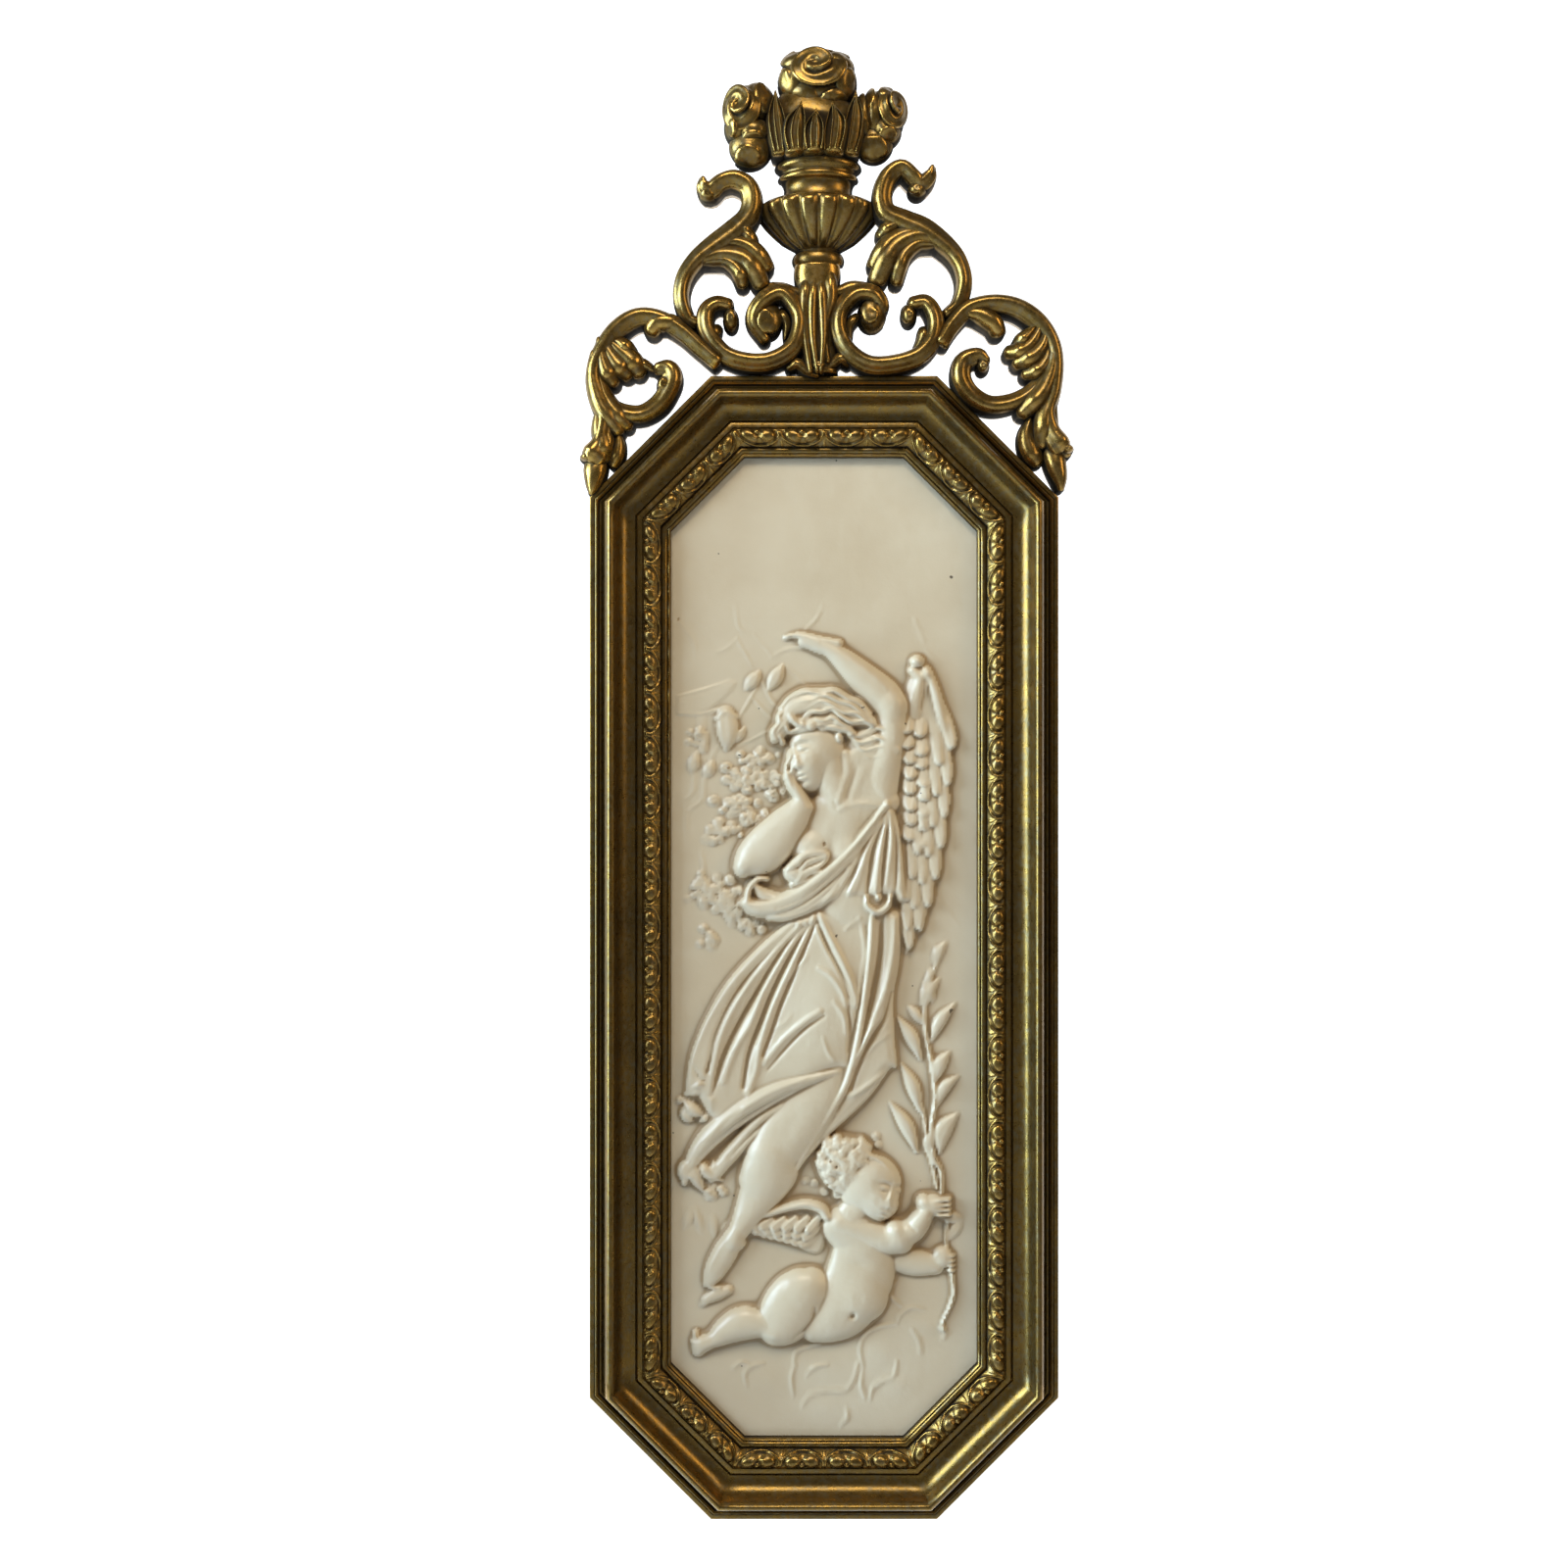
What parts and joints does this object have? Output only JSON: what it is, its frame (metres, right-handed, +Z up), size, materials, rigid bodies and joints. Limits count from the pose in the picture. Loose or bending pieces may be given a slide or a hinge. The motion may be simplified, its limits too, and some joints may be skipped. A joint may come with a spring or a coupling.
{
  "type": "cherub wall plaque",
  "caption": "Upright eight-sided wall plaque: an ivory relief of a winged woman and a cherub in an antique-gold frame with an openwork crest of scrolls, urn and roses.",
  "frame": {"origin": "on the flat back of the top rail, at the middle of the rail's width and height, where the plaque hangs on the wall", "axes": "+Z up along the plaque, +Y into the wall, +X to the right as seen from the front, so the carved front faces -Y"},
  "size_m": [0.2174, 0.0239, 0.6615],
  "materials": {
    "antique_gold": "antique gold paint, worn bright on the ridges and dark in the grooves",
    "ivory": "satin ivory, toned tan in the hollows"
  },
  "bodies": {
    "root": {"frame": "antique_gold", "relief_panel": "ivory"}
  },
  "joints": []
}
